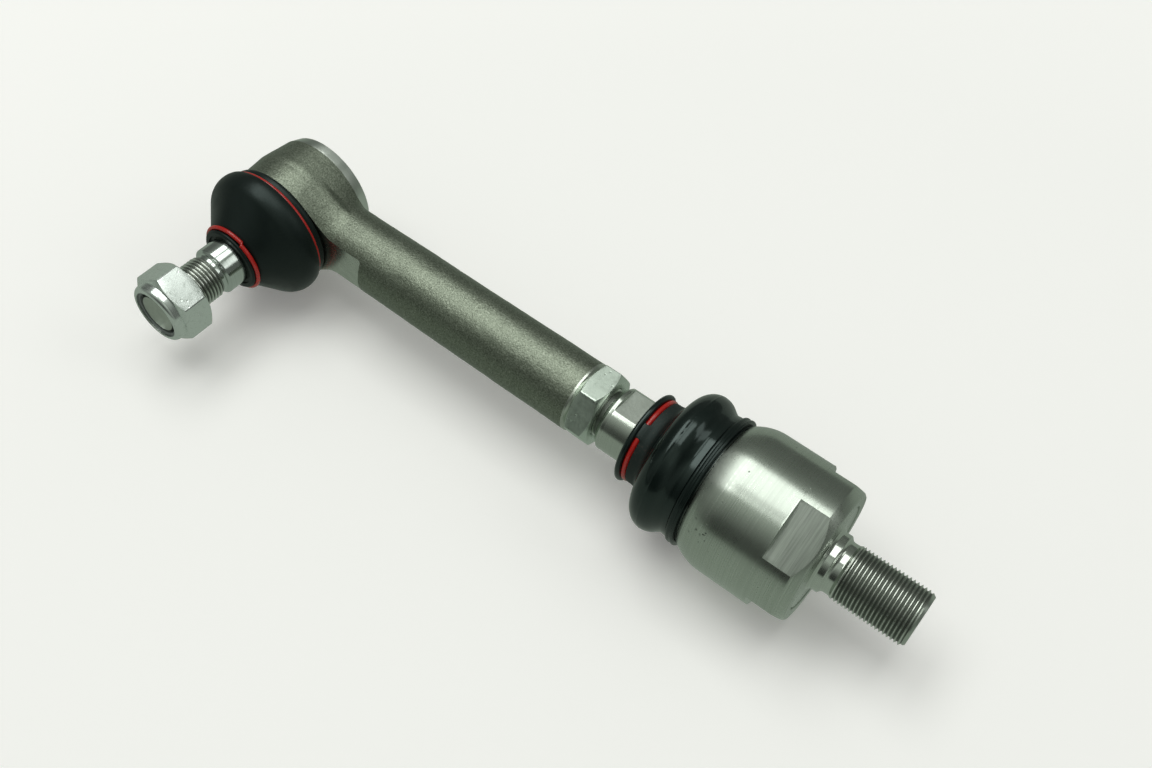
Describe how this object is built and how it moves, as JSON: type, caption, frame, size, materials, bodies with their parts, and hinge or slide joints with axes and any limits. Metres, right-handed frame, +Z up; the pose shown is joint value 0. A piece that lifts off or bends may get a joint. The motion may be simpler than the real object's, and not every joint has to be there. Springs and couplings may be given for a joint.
{
  "type": "tie rod",
  "caption": "Steering tie rod with a forged ball joint head, a threaded rod and lock nut, an axial ball joint in a turned housing, rubber boots and a locking stud nut.",
  "frame": {"origin": "centre of the axial housing's end face, on the rod's axis, where the end stud comes out", "axes": "+X along the rod toward the threaded end stud, -Y along the ball stud toward its nut, +Z up"},
  "size_m": [0.3195, 0.1061, 0.058],
  "materials": {
    "turned_steel": "turned, satin",
    "forged_steel": "forged and blasted",
    "zinc": "zinc plated",
    "spring_steel": "hardened",
    "rubber": "semi gloss",
    "band_rubber": "satin",
    "red_ring": "glossy coating",
    "polymer": "moulded",
    "insert_polymer": "moulded"
  },
  "bodies": {
    "housing": {"axial_housing": "turned_steel", "threaded_end_plug": "turned_steel", "inner_front_seat": "polymer", "inner_rear_seat": "polymer", "inner_disc_spring": "spring_steel"},
    "inner_boot": {"inner_boot": "rubber", "inner_boot_band": "band_rubber"},
    "inner_collar": {"inner_boot_ring": "red_ring"},
    "ball_pin": {"ball_pin": "turned_steel"},
    "lock_nut": {"lock_nut": "zinc"},
    "rod": {"tie_rod_body": "forged_steel", "outer_front_seat": "polymer", "outer_rear_seat": "polymer", "outer_disc_spring": "spring_steel", "closing_cap": "zinc"},
    "outer_boot": {"outer_boot": "rubber", "outer_boot_large_ring": "red_ring"},
    "outer_collar": {"outer_boot_small_ring": "red_ring"},
    "ball_stud": {"ball_stud": "turned_steel"},
    "nut_insert": {"nut_insert": "insert_polymer"},
    "stud_nut": {"stud_nut": "zinc"}
  },
  "joints": [
    {"name": "inner_turn", "type": "hinge", "parent": "housing", "child": "inner_boot", "pos_m": [-0.027, 0, 0], "axis": [1, 0, 0], "continuous": true},
    {"name": "inner_tilt", "type": "hinge", "parent": "inner_boot", "child": "inner_collar", "pos_m": [-0.027, 0, 0], "axis": [0, 0, 1], "range_deg": [-18, 18], "deforming": ["inner_boot"]},
    {"name": "pin_turn", "type": "hinge", "parent": "inner_collar", "child": "ball_pin", "pos_m": [-0.027, 0, 0], "axis": [1, 0, 0], "continuous": true},
    {"name": "adjust_travel", "type": "slide", "parent": "ball_pin", "child": "lock_nut", "axis": [-1, 0, 0], "range_m": [-0.0015, 0.012]},
    {"name": "rod_turn", "type": "hinge", "parent": "lock_nut", "child": "rod", "pos_m": [-0.15, 0, 0], "axis": [-1, 0, 0], "range_deg": [-361, 2881]},
    {"name": "outer_turn", "type": "hinge", "parent": "rod", "child": "outer_boot", "pos_m": [-0.2543, -0.0015, 0], "axis": [0, 1, 0], "continuous": true},
    {"name": "outer_tilt", "type": "hinge", "parent": "outer_boot", "child": "outer_collar", "pos_m": [-0.2543, -0.0015, 0], "axis": [0, 0, 1], "range_deg": [-22, 22], "deforming": ["outer_boot"]},
    {"name": "stud_turn", "type": "hinge", "parent": "outer_collar", "child": "ball_stud", "pos_m": [-0.2543, -0.0015, 0], "axis": [0, 1, 0], "continuous": true},
    {"name": "nut_travel", "type": "slide", "parent": "ball_stud", "child": "nut_insert", "axis": [0, -1, 0], "range_m": [0, 0.04]},
    {"name": "nut_turn", "type": "hinge", "parent": "nut_insert", "child": "stud_nut", "pos_m": [-0.2543, -0.068, 0], "axis": [0, -1, 0], "range_deg": [-1, 9601]}
  ],
  "couplings": [
    {"joint": "rod_turn", "follows": "adjust_travel", "rad_per_m": 4188.8},
    {"joint": "nut_turn", "follows": "nut_travel", "rad_per_m": 4188.8}
  ]
}
